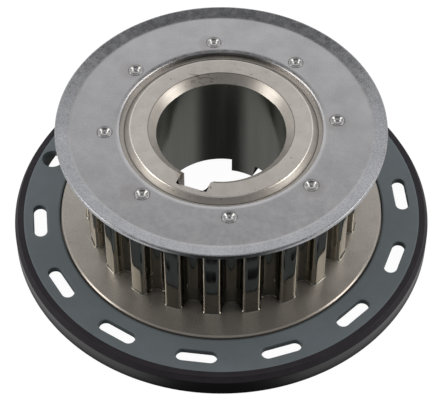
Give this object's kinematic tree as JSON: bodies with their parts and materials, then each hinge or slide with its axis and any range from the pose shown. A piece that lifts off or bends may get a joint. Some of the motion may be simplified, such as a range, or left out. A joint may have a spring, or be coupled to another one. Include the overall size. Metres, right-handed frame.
{
  "type": "toothed-belt crankshaft sprocket",
  "caption": "Keyed crankshaft sprocket for a toothed timing belt, with a staked front flange, a rear disc, and a carrier with 13 slots, one round hole and a black speed-sensor magnet rim.",
  "frame": {"origin": "on the bore axis, in the plane of the magnet rim's rear edge, which the sprocket stands on", "axes": "+Z along the bore axis towards the front flange, the keyway faces -Y and the rear lug +Y"},
  "size_m": [0.1004, 0.1004, 0.0362],
  "materials": {
    "sintered_steel": "sized sintered steel, bright on the teeth",
    "zinc_grey_sheet": "matte",
    "phosphated_sheet": "matte phosphate",
    "bonded_ferrite": "satin moulded"
  },
  "bodies": {
    "root": {"toothed_body": "sintered_steel", "front_flange": "zinc_grey_sheet", "sensor_ring_carrier": "phosphated_sheet", "magnet_rim": "bonded_ferrite"}
  },
  "joints": []
}
